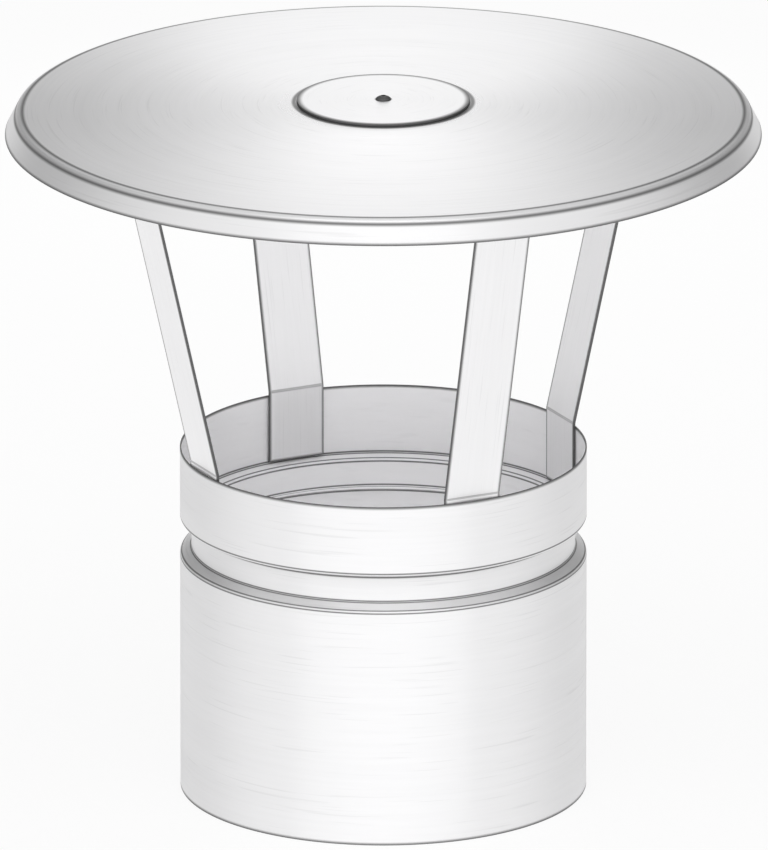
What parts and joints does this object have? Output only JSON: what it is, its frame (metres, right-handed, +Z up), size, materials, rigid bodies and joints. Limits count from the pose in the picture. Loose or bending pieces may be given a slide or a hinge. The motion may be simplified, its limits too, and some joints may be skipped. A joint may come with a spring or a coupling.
{
  "type": "chimney rain cap",
  "caption": "Chimney rain cap: a round socket tube with a rolled groove, leaning sheet straps, and a wide shallow spun hat with a small riveted centre plate.",
  "frame": {"origin": "centre of the tube's lower edge, on the flue's axis", "axes": "+Z up along the flue's axis, with the straps on the X and Y axes; strap_right is on +X and strap_back on +Y"},
  "size_m": [0.28, 0.28, 0.2671],
  "materials": {
    "tube_sheet": "satin rolled stainless sheet",
    "hat_sheet": "spun stainless sheet with fine rings",
    "plate_sheet": "bright flat stainless disc",
    "strap_sheet": "stainless strip brushed along its length",
    "rivet_steel": "dark blackened steel rivet",
    "mandrel_steel": "dull dark steel, broken off"
  },
  "bodies": {
    "root": {"flue_tube": "tube_sheet", "rain_hat": "hat_sheet", "centre_plate": "plate_sheet", "rivet_body": "rivet_steel", "rivet_mandrel": "mandrel_steel", "strap_right": "strap_sheet", "strap_back": "strap_sheet", "strap_left": "strap_sheet", "strap_front": "strap_sheet"}
  },
  "joints": []
}
